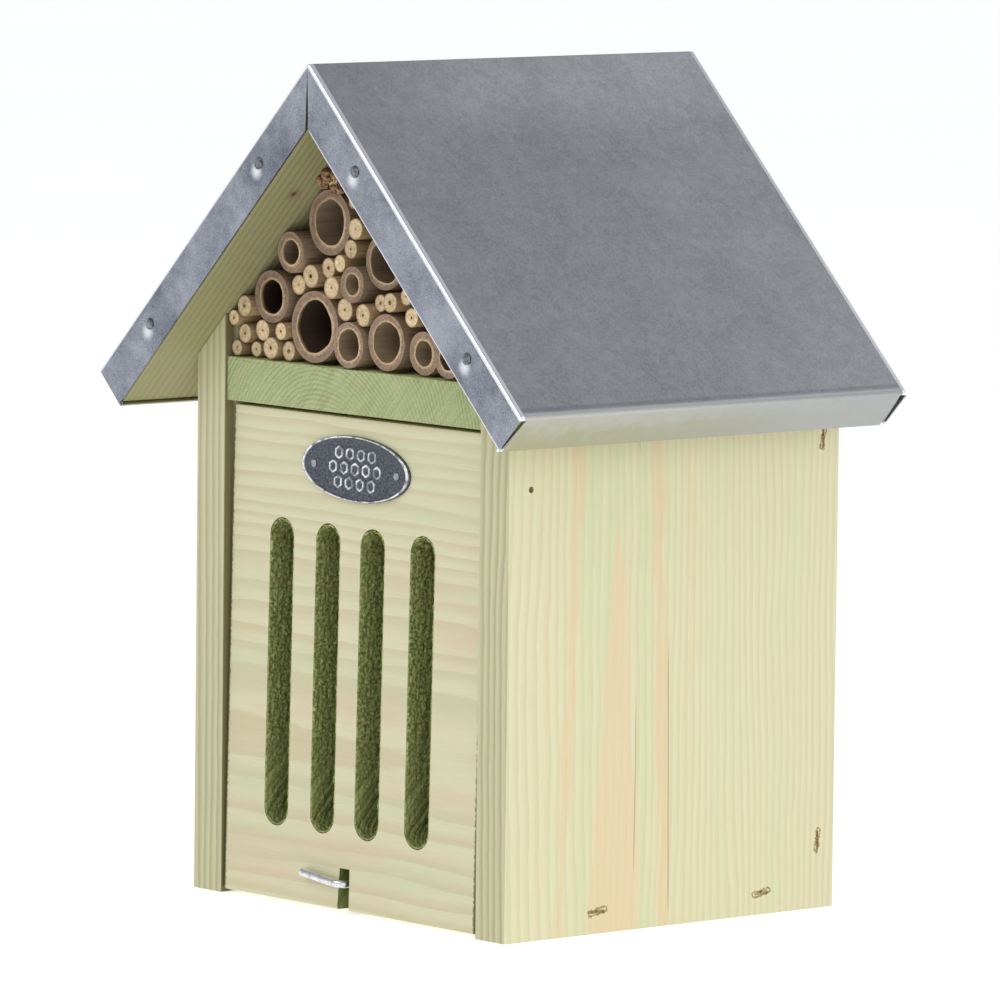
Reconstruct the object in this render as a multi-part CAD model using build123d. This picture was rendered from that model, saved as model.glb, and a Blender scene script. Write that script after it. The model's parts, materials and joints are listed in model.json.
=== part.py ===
from build123d import *
import math
import os

# Wooden insect hotel: a gabled box with a hinged slotted front, a bundle of canes in the gable and a folded
# sheet-metal roof. Millimetres. +Z is up, the front faces -Y and +X is to the right when facing the front.
# The origin is under the middle of the roof, level with the bottoms of the boards.

# Boards and box
board = 14.0                # thickness of every board
body_width = 154.0          # over the two side panels
body_depth = 139.0          # front edge to back edge of a side panel
chamber_height = 145.5      # top of the floor board to the underside of the shelf
gable_side_height = 14.0    # top of the shelf to the roof at the inner face of a side panel
shelf_recess = 0.8          # shelf front edge behind the side panels' front edges

# Roof
roof_slope = 45.0           # degrees
front_overhang = 19.0       # roof in front of the side panels
rear_overhang = 4.5         # roof behind the side panels
eave_overhang = 27.0        # side panel's outer face to the eave fold, measured level
sheet = 0.6                 # thickness of the sheet metal
fold_radius = 1.0           # outside of every fold
rake_flange = 14.5          # depth of the front and rear flanges, square to the slope
eave_flange = 15.5          # depth of the eave flanges
sheet_fit = 0.4             # roof board edges inside the flanges
mitre_gap = 0.3             # each roof board back from the ridge plane
seam_width = 1.6            # open seam between the two front flanges, at its lower end
corner_relief = 2.2         # widest part of the open corner between an eave flange and a rake flange
corner_gap = 0.3            # narrowest part of that corner

# Door, hinged near its top on two nails
door_side_gap = 1.0
door_bottom_gap = 1.2
door_recess = 3.0           # door face behind the side panels' front edges, at the nails
door_lean = 1.0             # degrees that the closed door's bottom stands forward
nail_inset = 9.0            # pivot nails behind the side panels' front edges
nail_to_top = 16.4          # pivot nails to the door's top edge
swing_clearance = 0.4       # shelf above the door's turning corner
rest_gap = 0.3              # closed door to the floor board's front edge
slot_width = 12.0
slot_centres = (-36.5, -13.5, 8.5, 33.0)
slot_below_nail = 18.0      # pivot nails to the slots' upper ends
slot_above_edge = 23.3      # door's bottom edge to the slots' lower ends
notch_width = 5.0
notch_height = 13.3         # above the door's bottom edge

# Pivot nails
nail_radius = 1.0
nail_clearance = 0.05       # radial, where the door turns on the nail
nail_sunk = 1.5             # nail end below the side panel's outer face
nail_in_door = 18.0
nail_hole_spare = 2.0       # door's hole deeper than the nail

# Turn hook that locks the door
wire_radius = 1.35
hook_bend_radius = 3.0      # centre line of the bend
hook_arm = 18.5             # stem axis to the arm's tip
hook_tilt = 6.0             # degrees that the arm points above level
hook_offset = -2.0          # stem left of the middle
hook_height = 9.6
hook_in_floor = 14.0
hook_clearance = 0.05       # radial, in the floor board
hook_face_gap = 0.5         # arm in front of the door face

# Name plate
plate_width = 53.0
plate_height = 21.0
plate_thickness = 0.8
plate_rim = 1.6             # width of the raised rim
plate_relief = 0.5          # height of the rim and of the cells
plate_tilt = 1.5            # degrees clockwise
plate_below_top = 16.2      # door's top edge to the plate's middle
cell_size = 2.6             # a honeycomb cell's middle to its corners
cell_spacing = 5.4          # middle to middle
pin_spacing = 40.8
pin_radius = 0.6
pin_head_radius = 1.3
pin_head_height = 0.5
pin_length = 8.0

# Staples through the side panels
staple_crown = 6.0
staple_wire = 1.0
staple_length = 26.0
staple_sunk = 0.4           # crown below the wood
staple_from_front = 38.5
staple_from_back = 31.0
staple_from_ends = 22.0     # back panel's staples, above the floor and below the shelf

# Nails in the roof
roof_nail_radius = 0.9
roof_nail_head_radius = 1.9
roof_nail_head_height = 0.8
roof_nail_length = 14.0
roof_nail_depth = 6.5       # below the roof surface, square to the slope
roof_nail_from_ridge = 40.0
roof_nail_from_eave = 30.0
board_nail_radius = 0.9
board_nail_head_radius = 2.0
board_nail_head_height = 0.5
board_nail_length = 22.0
board_nail_from_front = 30.0

# Hanger on the back
hanger_width = 36.0
hanger_height = 18.0
hanger_thickness = 1.2
hanger_drop = 36.0          # roof boards' inner ridge to the hanger's middle
keyhole_radius = 4.5
keyhole_slot = 4.4          # width of the keyhole's upper slot
keyhole_rise = 5.5          # large hole's centre to the slot's upper end centre
pocket_depth = 6.0
pocket_margin = 1.5
hanger_corner = 6.0         # radius of the plate's corners
screw_spacing = 26.0
screw_radius = 1.3
screw_head_radius = 2.8
screw_head_height = 1.2
screw_length = 10.0

# Shared by all pieces
head_rounding = 0.7         # rounding of a nail's or screw's head, as a share of its height
past = 1.0                  # how far a cutting tool runs past a face
barely_past = 0.01          # the same, where a wall stands right behind the face

# Canes. Each row is: distance right of the middle, height above the shelf, outside diameter, bore diameter,
# bore depth. Canes with no bore are solid pith.
bundle_width = 126.0        # the gable that the rows are written for
bundle_height = 77.0
cane_gap = 0.2              # least space between canes, and to the boards
cane_end_gap = 1.0          # canes' back ends to the back panel
stagger_step = 0.7          # front ends stand back by none to four of these
stagger_count = 5
stagger_stride = 7          # how many steps on the next cane's front end is
settled_within = 0.002
settling_rounds = 2000      # most rounds of moving the canes apart
canes = (
    (-60.0, 3.0, 5.5, 0, 0),
    (-53.5, 3.0, 5.5, 0, 0),
    (-41.8, 4.0, 7.7, 2.6, 25),
    (-34.8, 3.5, 6.7, 2.4, 20),
    (-60.2, 12.0, 5.5, 0, 0),
    (-56.8, 9.0, 6.7, 2.2, 20),
    (-50.4, 9.0, 7.4, 0, 0),
    (-37.2, 9.4, 6.1, 0, 0),
    (-21.4, 12.0, 23.9, 17.0, 90),
    (-3.0, 7.8, 15.2, 10.2, 45),
    (13.4, 9.5, 18.6, 13.0, 35),
    (30.6, 7.4, 14.4, 8.2, 25),
    (45.6, 7.2, 14.0, 8.4, 60),
    (57.5, 5.5, 10.5, 6.2, 30),
    (-55.0, 18.0, 7.4, 0, 0),
    (-42.8, 20.0, 17.6, 11.2, 100),
    (-30.8, 23.6, 7.0, 1.2, 12),
    (3.0, 17.8, 7.6, 1.6, 20),
    (-7.4, 18.4, 7.8, 1.2, 15),
    (-11.6, 25.4, 7.8, 1.2, 15),
    (26.4, 18.4, 6.6, 0, 0),
    (9.6, 21.8, 6.0, 0, 0),
    (16.7, 21.9, 6.9, 1.9, 15),
    (23.0, 25.2, 6.0, 0, 0),
    (-1.0, 26.2, 12.3, 6.8, 40),
    (-25.2, 28.5, 8.0, 0, 0),
    (-16.2, 31.6, 7.0, 1.4, 20),
    (-7.6, 33.4, 6.0, 1.2, 10),
    (11.4, 34.4, 18.9, 14.2, 60),
    (-33.6, 34.9, 13.6, 8.0, 70),
    (-6.2, 39.0, 6.6, 0, 0),
    (-17.2, 45.8, 21.6, 14.6, 30),
    (-0.6, 44.6, 7.3, 0, 0),
    (-3.4, 53.0, 5.1, 0, 0),
    (-11.4, 59.4, 5.2, 1.6, 6),
    (38.0, 19.0, 12.0, 6.6, 50),
    (51.0, 16.5, 8.6, 2.6, 20),
    (27.6, 32.4, 12.4, 6.8, 35),
    (39.6, 30.0, 8.4, 2.4, 20),
    (8.4, 51.0, 12.4, 6.6, 40),
    (-2.2, 62.5, 8.0, 2.4, 8),
)

# Worked out from the sizes above
cos_slope = math.cos(math.radians(roof_slope))
sin_slope = math.sin(math.radians(roof_slope))
tan_slope = math.tan(math.radians(roof_slope))
roof_length = front_overhang + body_depth + rear_overhang
roof_front = -roof_length / 2
body_front = roof_front + front_overhang
body_back = body_front + body_depth
outer_x = body_width / 2
inner_x = outer_x - board
shelf_bottom = board + chamber_height
shelf_top = shelf_bottom + board
wall_top_inner = shelf_top + gable_side_height
under_ridge = wall_top_inner + inner_x * tan_slope
board_ridge = under_ridge + board / cos_slope
ridge_height = board_ridge + sheet / cos_slope
eave_x = outer_x + eave_overhang
slope_length = eave_x / cos_slope
back_front = body_back - board
shelf_front = body_front + shelf_recess
hanger_z = under_ridge - hanger_drop

nail_y = body_front + nail_inset
door_ahead = nail_inset - door_recess
nail_z = shelf_bottom - swing_clearance - math.hypot(door_ahead, nail_to_top)
door_top = nail_z + nail_to_top
door_half = inner_x - door_side_gap
lean_tan = math.tan(math.radians(door_lean))
lean_cos = math.cos(math.radians(door_lean))


def door_face_y(z):
    """Where the closed door's front face is, at a height."""
    return nail_y - door_ahead / lean_cos - (nail_z - z) * lean_tan


def door_back_y(z):
    """Where the closed door's back face is, at a height."""
    return nail_y + (board - door_ahead) / lean_cos - (nail_z - z) * lean_tan


floor_front = door_back_y(board) + rest_gap


def block(low, high):
    """A box between two corners."""
    size = [b - a for a, b in zip(low, high)]
    middle = [(a + b) / 2 for a, b in zip(low, high)]
    return Pos(*middle) * Box(*size)


def prism(points, y0, y1):
    """An outline of (x, z) points run from y0 to y1."""
    plane = Plane(origin=(0, y0, 0), x_dir=(1, 0, 0), z_dir=(0, -1, 0))
    face = plane * make_face(Polyline(*points, close=True))
    return extrude(face, amount=y0 - y1)


def rod(start, direction, radius, length):
    """A round rod from a point along a direction."""
    return Plane(origin=start, z_dir=direction) * Cylinder(
        radius, length, align=(Align.CENTER, Align.CENTER, Align.MIN)
    )


def cut(solid, tools):
    """A solid with each tool that reaches it taken away."""
    for tool in tools:
        solid = solid - tool
    return solid


def on_slope(along, depth):
    """The (x, z) point on the right of the roof: along from the ridge, and depth below the outer surface."""
    x = along * cos_slope - depth * sin_slope
    z = ridge_height - along * sin_slope - depth * cos_slope
    return x, z


# Fasteners


def staple(y, z, upright):
    """A staple in the right side panel, with its crown along Y, or along Z if upright."""
    reach = staple_crown / 2
    half = staple_wire / 2
    out_x = outer_x - staple_sunk
    low = [out_x - staple_wire, y - half, z - half]
    high = [out_x, y + half, z + half]
    axis = 2 if upright else 1
    middle = (low[axis] + high[axis]) / 2
    low[axis] = middle - reach
    high[axis] = middle + reach
    body = block(low, high)
    for side in (-1, 1):
        leg_low = [out_x - staple_length, y - half, z - half]
        leg_high = [out_x, y + half, z + half]
        leg_low[axis] += side * (reach - half)
        leg_high[axis] += side * (reach - half)
        body = body + block(leg_low, leg_high)
    return body


def right_staples():
    """The right side's staples: into the floor, the shelf and the back panel."""
    made = []
    for z in (board / 2, shelf_bottom + board / 2):
        for y in (body_front + staple_from_front, body_back - staple_from_back):
            made.append(staple(y, z, upright=False))
    for z in (staple_from_ends, shelf_bottom - staple_from_ends + board):
        made.append(staple(body_back - board / 2, z, upright=True))
    return made


def staple_sinks():
    """The dents that the right side's crowns are sunk in."""
    made = []
    for piece in right_staples():
        box = piece.bounding_box()
        low = (outer_x - staple_sunk, box.min.Y, box.min.Z)
        made.append(block(low, (outer_x + past, box.max.Y, box.max.Z)))
    return made


def pivot_nail(side):
    """A headless nail through a side panel into the door's edge."""
    start = (side * (outer_x - nail_sunk), nail_y, nail_z)
    length = board - nail_sunk + door_side_gap + nail_in_door
    return rod(start, (-side, 0, 0), nail_radius, length)


def roof_nail(side, end, along):
    """A pan-head nail through a front or rear flange into a roof board's edge."""
    x, z = on_slope(along, roof_nail_depth)
    y = end * roof_length / 2
    head = rod((side * x, y, z), (0, end, 0), roof_nail_head_radius, roof_nail_head_height)
    outer_face = head.faces().sort_by(Axis.Y)[-1 if end > 0 else 0]
    head = fillet(outer_face.edges(), roof_nail_head_height * head_rounding)
    shank = rod((side * x, y, z), (0, -end, 0), roof_nail_radius, roof_nail_length)
    return head + shank


def roof_nails():
    """Two nails in each of the four rake flanges."""
    spots = (roof_nail_from_ridge, slope_length - roof_nail_from_eave)
    return [roof_nail(side, end, along) for end in (-1, 1) for side in (-1, 1) for along in spots]


def board_nail(side, along, y):
    """A nail from a roof board's upper face, square to the slope."""
    x, z = on_slope(along, sheet)
    inward = (-side * sin_slope, 0, -cos_slope)
    shank = rod((side * x, y, z), inward, board_nail_radius, board_nail_length)
    head = rod((side * x, y, z), inward, board_nail_head_radius, board_nail_head_height)
    return head + shank


def board_nails():
    """Nails that hold the roof boards to the side panels' bevels and to the back panel."""
    bevel = (outer_x + inner_x) / 2 / cos_slope + (board + sheet) * tan_slope
    gable = (bevel / 3, bevel * 2 / 3)
    made = []
    for side in (-1, 1):
        made.append(board_nail(side, bevel, body_front + board_nail_from_front))
        made.append(board_nail(side, bevel, 0))
        for along in gable:
            made.append(board_nail(side, along, body_back - board / 2))
    return made


# Boards


def side_panel(side):
    """A side panel with its top bevelled to the roof."""
    wall_top_outer = wall_top_inner - board * tan_slope
    outline = [(inner_x, 0), (outer_x, 0), (outer_x, wall_top_outer), (inner_x, wall_top_inner)]
    panel = prism(outline, body_front, body_back)
    panel = cut(panel, right_staples() + staple_sinks())
    if side < 0:
        panel = mirror(panel, about=Plane.YZ)
    start = (side * (outer_x + past), nail_y, nail_z)
    hole = rod(start, (-side, 0, 0), nail_radius, board + 2 * past)
    return cut(panel, [hole] + board_nails())


def gable_outline():
    """The inside of the box between the side panels, up to the roof boards."""
    return [
        (-inner_x, 0),
        (inner_x, 0),
        (inner_x, wall_top_inner),
        (0, under_ridge),
        (-inner_x, wall_top_inner),
    ]


def both_staples():
    """The staples of both sides."""
    right = right_staples()
    return right + [mirror(piece, about=Plane.YZ) for piece in right]


def back_panel():
    """The gable board between the side panels, with a pocket behind the hanger's keyhole."""
    panel = prism(gable_outline(), back_front, body_back)
    reach = keyhole_radius + pocket_margin
    top = hanger_z + keyhole_rise + reach
    low = (-reach, body_back - pocket_depth, hanger_z - reach)
    pocket = block(low, (reach, body_back + past, top))
    return cut(panel, both_staples() + board_nails() + [pocket] + hanger_screws())


def floor_board():
    """The floor between the side panels, with the hook's hole in its front edge."""
    panel = block((-inner_x, floor_front, 0), (inner_x, back_front, board))
    hole = rod(
        (hook_offset, floor_front - past, hook_height),
        (0, 1, 0),
        wire_radius + hook_clearance,
        hook_in_floor + 2 * past,
    )
    return cut(panel, both_staples() + [hole])


def shelf_board():
    """The board that the canes lie on."""
    panel = block((-inner_x, shelf_front, shelf_bottom), (inner_x, back_front, shelf_top))
    return cut(panel, both_staples())


def roof_board(side):
    """A board under one slope, mitred at the ridge and cut square at the eave."""
    top_end = on_slope(slope_length - sheet - sheet_fit, sheet)
    low_end = on_slope(slope_length - sheet - sheet_fit, sheet + board)
    drop = mitre_gap * tan_slope
    outline = [(mitre_gap, board_ridge - drop), top_end, low_end, (mitre_gap, under_ridge - drop)]
    outline = [(side * x, z) for x, z in outline]
    end = roof_length / 2 - sheet - sheet_fit
    panel = prism(outline, -end, end)
    return cut(panel, board_nails() + roof_nails())


# Roof sheet


def roof_wedge(inset, depth):
    """The solid under both slopes, drawn in from the outer surface by inset and reaching down by depth."""
    right = [
        (0, ridge_height - inset / cos_slope),
        on_slope(slope_length - inset, inset),
        on_slope(slope_length - inset, depth),
        (0, ridge_height - depth / cos_slope),
    ]
    left = [(-x, z) for x, z in right[2:0:-1]]
    end = roof_length / 2 - inset
    solid = prism(right + left, -end, end)
    slopes = solid.faces().filter_by(lambda face: face.normal_at().Z > cos_slope / 2)
    folds = [edge for edge in slopes.edges() if edge.length > fold_radius]
    return fillet(ShapeList(folds), fold_radius - inset)


def ridge_seam():
    """The open seam between the two front flanges."""
    outline = [
        (0, ridge_height - fold_radius * 2),
        (seam_width / 2, ridge_height - eave_flange / cos_slope - past),
        (-seam_width / 2, ridge_height - eave_flange / cos_slope - past),
    ]
    return prism(outline, roof_front - past, roof_front + sheet + barely_past)


def flange_trim():
    """What comes off the front flanges to make them shallower than the eave flanges."""
    spare = eave_flange + past
    right = [
        on_slope(slope_length - sheet, rake_flange),
        on_slope(slope_length - sheet, spare),
        (0, ridge_height - spare / cos_slope),
        (0, ridge_height - rake_flange / cos_slope),
    ]
    halves = [prism(right, roof_front - past, roof_front + sheet + barely_past)]
    halves.append(mirror(halves[0], about=Plane.YZ))
    return halves


def eave_corner():
    """The open corner between the right eave flange and the front flange."""
    x, z = on_slope(slope_length, 0)
    plane = Plane(origin=(x, roof_front, z), x_dir=(0, 1, 0), z_dir=(-cos_slope, 0, sin_slope))
    outline = [
        (sheet, fold_radius),
        (sheet + corner_relief, fold_radius),
        (sheet + corner_gap, eave_flange + past),
        (sheet, eave_flange + past),
    ]
    face = plane * make_face(Polyline(*outline, close=True))
    return extrude(face, amount=sheet * 2) + extrude(face, amount=-sheet)


def roof_sheet():
    """One sheet folded over the ridge, the eaves, the front and the rear."""
    shell = roof_wedge(0, eave_flange) - roof_wedge(sheet, eave_flange + past)
    corner = eave_corner()
    front_cuts = [ridge_seam(), corner, mirror(corner, about=Plane.YZ)] + flange_trim()
    rear_cuts = [mirror(tool, about=Plane.XZ) for tool in front_cuts]
    return cut(shell, front_cuts + rear_cuts + roof_nails())


# Door


def lean(solid):
    """Turns an upright door piece about the pivot nails to where the closed door stands."""
    axis = Axis((0, nail_y, nail_z), (1, 0, 0))
    return solid.rotate(axis, -door_lean)


def door_slot(x):
    """A round-ended slot through the door."""
    low = door_bottom_gap + slot_above_edge + slot_width / 2
    high = nail_z - slot_below_nail - slot_width / 2
    y = body_front + door_recess
    half = slot_width / 2
    tool = block((x - half, y - past, low), (x + half, y + board + past, high))
    for z in (low, high):
        tool = tool + rod((x, y - past, z), (0, 1, 0), half, board + 2 * past)
    return tool


def plate_middle():
    """The middle of the name plate's back, on the upright door."""
    return 0, body_front + door_recess, door_top - plate_below_top


def front_door():
    """The slotted door with its nail holes, the notch for the hook and the plate's pin holes."""
    y = body_front + door_recess
    door = block((-door_half, y, door_bottom_gap), (door_half, y + board, door_top))
    tools = [door_slot(x) for x in slot_centres]
    half = notch_width / 2
    tools.append(
        block(
            (hook_offset - half, y - past, door_bottom_gap - past),
            (hook_offset + half, y + board + past, door_bottom_gap + notch_height),
        )
    )
    for side in (-1, 1):
        start = (side * (door_half + past), nail_y, nail_z)
        depth = nail_in_door + nail_hole_spare + past
        tools.append(rod(start, (-side, 0, 0), nail_radius + nail_clearance, depth))
    return lean(cut(door, tools + upright_pins()))


def honeycomb():
    """The honeycomb cells' middles on the plate."""
    row = cell_spacing * math.sqrt(3) / 2
    rows = ((0, (-2, -1, 0, 1, 2)), (row, (-1.5, -0.5, 0.5, 1.5)), (-row, (-1.5, -0.5, 0.5, 1.5)))
    return [(step * cell_spacing, up) for up, steps in rows for step in steps]


def upright_plate():
    """The oval plate with a raised rim and a honeycomb, on the upright door."""
    x, y, z = plate_middle()
    level = (math.cos(math.radians(plate_tilt)), 0, -math.sin(math.radians(plate_tilt)))
    plane = Plane(origin=(x, y, z), x_dir=level, z_dir=(0, -1, 0))
    outer = Ellipse(plate_width / 2, plate_height / 2)
    inner = Ellipse(plate_width / 2 - plate_rim, plate_height / 2 - plate_rim)
    top = plate_thickness + plate_relief
    plate = extrude(plane * outer, amount=plate_thickness)
    plate = plate + (extrude(plane * outer, amount=top) - extrude(plane * inner, amount=top))
    for across, up in honeycomb():
        cell = plane * (Pos(across, up) * RegularPolygon(cell_size, 6, rotation=30))
        plate = plate + extrude(cell, amount=top)
    return cut(plate, upright_pins())


def upright_pins():
    """The two pins that hold the plate, on the upright door."""
    x, y, z = plate_middle()
    pins = []
    for side in (-1, 1):
        across = side * pin_spacing / 2
        spot_x = x + across * math.cos(math.radians(plate_tilt))
        spot_z = z - across * math.sin(math.radians(plate_tilt))
        face_y = y - plate_thickness
        head = rod((spot_x, face_y, spot_z), (0, -1, 0), pin_head_radius, pin_head_height)
        outer_face = head.faces().sort_by(Axis.Y)[0]
        head = fillet(outer_face.edges(), pin_head_height * head_rounding)
        pins.append(head + rod((spot_x, face_y, spot_z), (0, 1, 0), pin_radius, pin_length))
    return pins


# Hook


def turn_hook():
    """A bent wire: its stem turns in the floor board and its arm lies across the door."""
    arm_y = door_face_y(hook_height) - hook_face_gap - wire_radius
    back_y = floor_front + hook_in_floor
    tip = hook_arm - wire_radius
    path = FilletPolyline(
        (hook_offset, back_y, hook_height),
        (hook_offset, arm_y, hook_height),
        (hook_offset - tip, arm_y, hook_height),
        radius=hook_bend_radius,
    )
    section = Plane(origin=path @ 0, z_dir=path % 0) * Circle(wire_radius)
    wire = sweep(section, path=path)
    wire = wire + Pos(hook_offset - tip, arm_y, hook_height) * Sphere(wire_radius)
    axis = Axis((hook_offset, back_y, hook_height), (0, 1, 0))
    return wire.rotate(axis, hook_tilt)


# Hanger


def hanger_plate():
    """The keyhole plate on the back."""
    half = hanger_width / 2
    low = (-half, body_back, hanger_z - hanger_height / 2)
    high = (half, body_back + hanger_thickness, hanger_z + hanger_height / 2)
    plate = block(low, high)
    corners = plate.edges().filter_by(Axis.Y)
    plate = fillet(corners, hanger_corner)
    start = (0, body_back - past, hanger_z - keyhole_rise / 2)
    slot_end = (0, body_back - past, hanger_z + keyhole_rise / 2)
    depth = hanger_thickness + 2 * past
    slot_half = keyhole_slot / 2
    tools = [rod(start, (0, 1, 0), keyhole_radius, depth), rod(slot_end, (0, 1, 0), slot_half, depth)]
    tools.append(
        block((-slot_half, start[1], start[2]), (slot_half, start[1] + depth, slot_end[2]))
    )
    return cut(plate, tools + hanger_screws())


def hanger_screws():
    """The two screws that hold the hanger."""
    screws = []
    for side in (-1, 1):
        start = (side * screw_spacing / 2, body_back + hanger_thickness, hanger_z)
        head = rod(start, (0, 1, 0), screw_head_radius, screw_head_height)
        outer_face = head.faces().sort_by(Axis.Y)[-1]
        head = fillet(outer_face.edges(), screw_head_height * head_rounding)
        screws.append(head + rod(start, (0, -1, 0), screw_radius, screw_length))
    return screws


# Canes


def push_apart(one, other, overlap):
    """Moves two canes apart along the line between them, the thinner one further."""
    (x, z, r), (x2, z2, r2) = one, other
    away = math.hypot(x - x2, z - z2)
    step_x = (x - x2) / away * overlap / (r + r2)
    step_z = (z - z2) / away * overlap / (r + r2)
    one[:2] = [x + step_x * r2, z + step_z * r2]
    other[:2] = [x2 - step_x * r, z2 - step_z * r]


def keep_inside(cane):
    """Moves a cane back between the walls, the shelf and the roof. Returns how far it was past the roof."""
    x, z, r = cane
    reach = r + cane_gap
    z = max(z, reach)
    x = max(-inner_x + reach, min(inner_x - reach, x))
    headroom = (under_ridge - shelf_top - z - abs(x) * tan_slope) * cos_slope
    past = max(0.0, reach - headroom)
    x -= math.copysign(past * sin_slope, x)
    z -= past * cos_slope
    cane[:2] = [x, z]
    return past


def settled_canes():
    """Each cane's place in the gable, as [x, height above the shelf, radius], with none touching another."""
    gable_height = under_ridge - shelf_top
    widening = inner_x * 2 / bundle_width
    scale = min(widening, gable_height / bundle_height)
    laid = [[x * widening, z * scale, diameter * scale / 2] for x, z, diameter, _, _ in canes]
    worst = 1.0
    rounds = 0
    while worst > settled_within and rounds < settling_rounds:
        worst = 0.0
        rounds += 1
        for i, one in enumerate(laid):
            for other in laid[:i]:
                space = math.hypot(one[0] - other[0], one[1] - other[1]) - one[2] - other[2]
                if space < cane_gap:
                    worst = max(worst, cane_gap - space)
                    push_apart(one, other, cane_gap - space)
            worst = max(worst, keep_inside(one))
    return laid, scale


def cane_front(number):
    """Where a cane's front end is."""
    return shelf_front + stagger_step * (number * stagger_stride % stagger_count)


def cane(place, bore, depth, number):
    """One cane, bored from the front where it is hollow."""
    x, height, radius = place
    front = cane_front(number)
    length = back_front - cane_end_gap - front
    start = (x, front, shelf_top + height)
    solid = rod(start, (0, 1, 0), radius, length)
    if bore:
        start = (x, front - past, shelf_top + height)
        solid = solid - rod(start, (0, 1, 0), bore / 2, depth + past)
    return solid


# Output


def save(name, solids):
    """Writes one node: a single solid, or a group of separate solids."""
    if isinstance(solids, list):
        solids = Compound(children=solids)
    export_step(solids, f"parts/{name}.step")


def main():
    os.makedirs("parts", exist_ok=True)
    save("left_side_panel", side_panel(-1))
    save("right_side_panel", side_panel(1))
    save("back_panel", back_panel())
    save("floor_board", floor_board())
    save("shelf_board", shelf_board())
    save("left_roof_board", roof_board(-1))
    save("right_roof_board", roof_board(1))
    save("roof_sheet", roof_sheet())
    save("roof_sheet_nails", roof_nails())
    save("roof_board_nails", board_nails())
    save("side_staples", both_staples())
    save("front_door", front_door())
    save("door_pivot_nails", [pivot_nail(-1), pivot_nail(1)])
    save("name_plate", lean(upright_plate()))
    save("name_plate_pins", [lean(pin) for pin in upright_pins()])
    save("turn_hook", turn_hook())
    save("hanger_plate", hanger_plate())
    save("hanger_screws", hanger_screws())
    places, scale = settled_canes()
    for number, (place, row) in enumerate(zip(places, canes), start=1):
        save(f"cane_{number:02d}", cane(place, row[3] * scale, row[4], number))


main()
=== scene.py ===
import bmesh
import bpy
import json
import math
import random
from mathutils import Matrix, Vector


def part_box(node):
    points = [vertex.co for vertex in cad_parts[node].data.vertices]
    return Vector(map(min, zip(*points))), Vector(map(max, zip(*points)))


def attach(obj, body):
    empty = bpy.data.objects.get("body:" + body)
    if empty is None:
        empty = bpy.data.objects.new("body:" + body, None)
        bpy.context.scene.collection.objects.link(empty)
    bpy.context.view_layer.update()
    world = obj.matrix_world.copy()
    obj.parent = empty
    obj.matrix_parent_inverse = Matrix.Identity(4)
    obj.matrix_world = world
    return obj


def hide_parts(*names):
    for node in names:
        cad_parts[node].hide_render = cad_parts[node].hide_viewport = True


# A wooden insect hotel: pressure-treated pine boards, a folded galvanised roof, a slotted door on two nails
# with a turn hook, and a bundle of bamboo and reed in the gable. Metres, +Z up, the front faces -Y.
# Finishes work in millimetres.

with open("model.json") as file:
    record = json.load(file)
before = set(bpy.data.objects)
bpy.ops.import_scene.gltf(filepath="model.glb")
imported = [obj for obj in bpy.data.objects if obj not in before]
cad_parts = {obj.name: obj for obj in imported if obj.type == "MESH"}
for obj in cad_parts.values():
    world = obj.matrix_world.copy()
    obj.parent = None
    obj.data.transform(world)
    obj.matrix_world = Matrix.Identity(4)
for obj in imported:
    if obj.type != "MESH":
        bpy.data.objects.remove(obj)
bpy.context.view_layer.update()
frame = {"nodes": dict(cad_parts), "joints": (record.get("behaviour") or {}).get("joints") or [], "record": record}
nodes = frame["nodes"]
record = frame["record"]
joints = {joint["name"]: joint for joint in frame["joints"]}

MM = 0.001

# Sizes read from the frame
panel_low, panel_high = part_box("right_side_panel")
left_low, left_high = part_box("left_side_panel")
shelf_low, shelf_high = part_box("shelf_board")
door_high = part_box("front_door")[1]
roof_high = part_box("roof_sheet")[1]
board = panel_high.x - panel_low.x
hinge = Vector(joints["door_hinge"]["pos_m"])
hook_pivot = Vector(joints["hook_turn"]["pos_m"])
openings = {opening["name"]: opening["box_m"] for opening in record["physics"]["openings"]}

# Sizes the frame does not give
door_lean = math.radians(1.0)
door_recess = 3.0 * MM
slot_radius = 6.0 * MM
slope = math.radians(45.0)
hook_rise = math.radians(6.0)
plate_tilt = math.radians(1.5)
slanted_foot = (8.0, 26.0)  # millimetres above a slot's foot where slanted tears give way to upright ribs

up_slope = Vector((math.cos(slope), 0, -math.sin(slope)))
off_slope = Vector((math.sin(slope), 0, math.cos(slope)))
east, north, up = Vector((1, 0, 0)), Vector((0, 1, 0)), Vector((0, 0, 1))
ridge_point = Vector((0, 0, roof_high.z / MM))


# ----------------------------------------------------------------------
# Node graphs


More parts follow.
